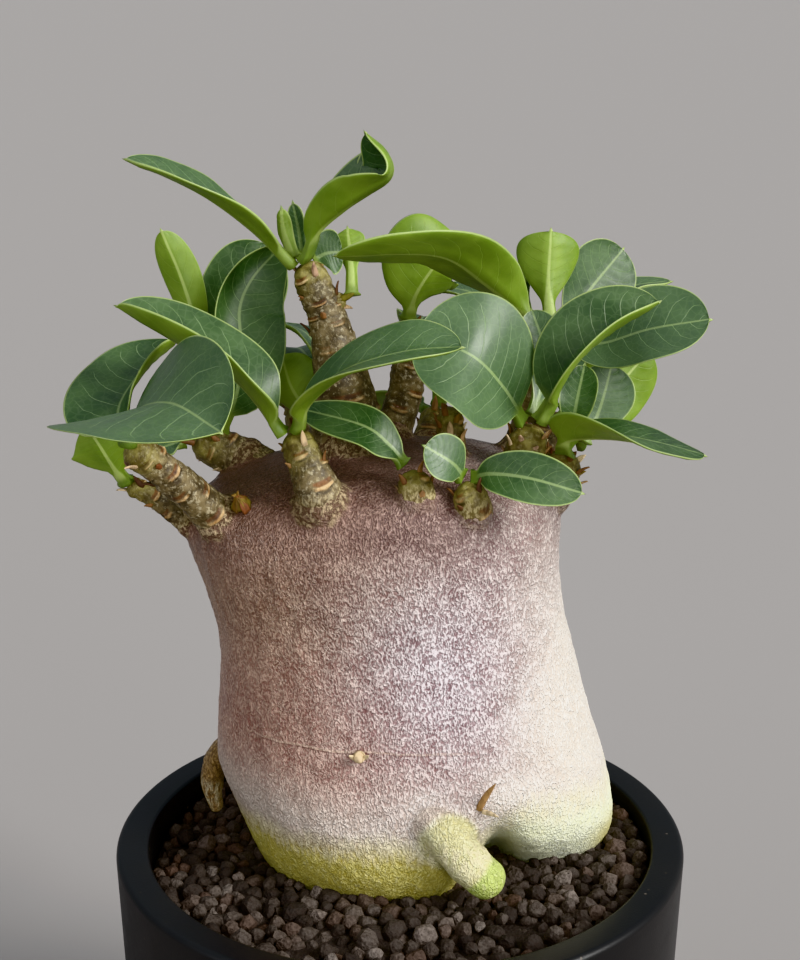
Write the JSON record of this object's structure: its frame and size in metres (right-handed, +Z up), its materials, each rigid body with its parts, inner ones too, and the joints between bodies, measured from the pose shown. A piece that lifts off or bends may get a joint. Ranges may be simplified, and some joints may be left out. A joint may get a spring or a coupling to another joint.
{
  "type": "potted desert rose plant",
  "caption": "Potted desert rose with a swollen pinkish trunk, short corky shoots and thick green leaves, in gravel in a round matte black pot.",
  "frame": {"origin": "centre of the pot's flat underside, on the pot's axis", "axes": "+Z up along the pot's axis; -Y towards the side that the picture shows; +X to the right as seen from there"},
  "size_m": [0.126, 0.1241, 0.2525],
  "materials": {
    "pot_plastic": "matte black moulded plastic with a slightly brighter rim edge",
    "gravel": "rough dark brown pumice or lava gravel",
    "bark": "maroon skin under thin silvery papery fibres, yellow-green at the foot, grey-brown corky shoots",
    "leaf": "thick satin leaf, deep green above and yellow-olive below, with a pale midrib and thin pale margin"
  },
  "bodies": {
    "root": {"pot": "pot_plastic", "soil": "gravel", "caudex": "bark", "leaf_tall_1": "leaf", "leaf_tall_2": "leaf", "leaf_tall_young_1": "leaf", "leaf_tall_young_2": "leaf", "leaf_tall_3": "leaf", "leaf_tall_4": "leaf", "leaf_tall_5": "leaf", "leaf_tall_6": "leaf", "leaf_tall_7": "leaf", "leaf_fork_1": "leaf", "leaf_fork_2": "leaf", "leaf_rear_1": "leaf", "leaf_rear_2": "leaf", "leaf_rear_3": "leaf", "leaf_rear_4": "leaf", "leaf_rear_5": "leaf", "leaf_rear_6": "leaf", "leaf_rear_7": "leaf", "leaf_rear_8": "leaf", "leaf_front_1": "leaf", "leaf_front_2": "leaf", "leaf_left_1": "leaf", "leaf_left_2": "leaf", "leaf_low_left_1": "leaf", "leaf_middle_1": "leaf", "leaf_middle_2": "leaf", "leaf_middle_3": "leaf", "leaf_middle_4": "leaf", "leaf_stub_1": "leaf", "leaf_pale_1": "leaf", "leaf_pale_2": "leaf", "leaf_knob_1": "leaf", "leaf_knob_2": "leaf", "leaf_knob_3": "leaf", "leaf_right_1": "leaf", "leaf_right_2": "leaf", "leaf_right_3": "leaf", "leaf_right_4": "leaf", "leaf_back_left_1": "leaf", "leaf_back_left_2": "leaf", "leaf_back_middle_1": "leaf", "leaf_back_middle_2": "leaf", "leaf_back_right_1": "leaf", "leaf_back_right_2": "leaf", "leaf_back_right_3": "leaf"}
  },
  "joints": []
}
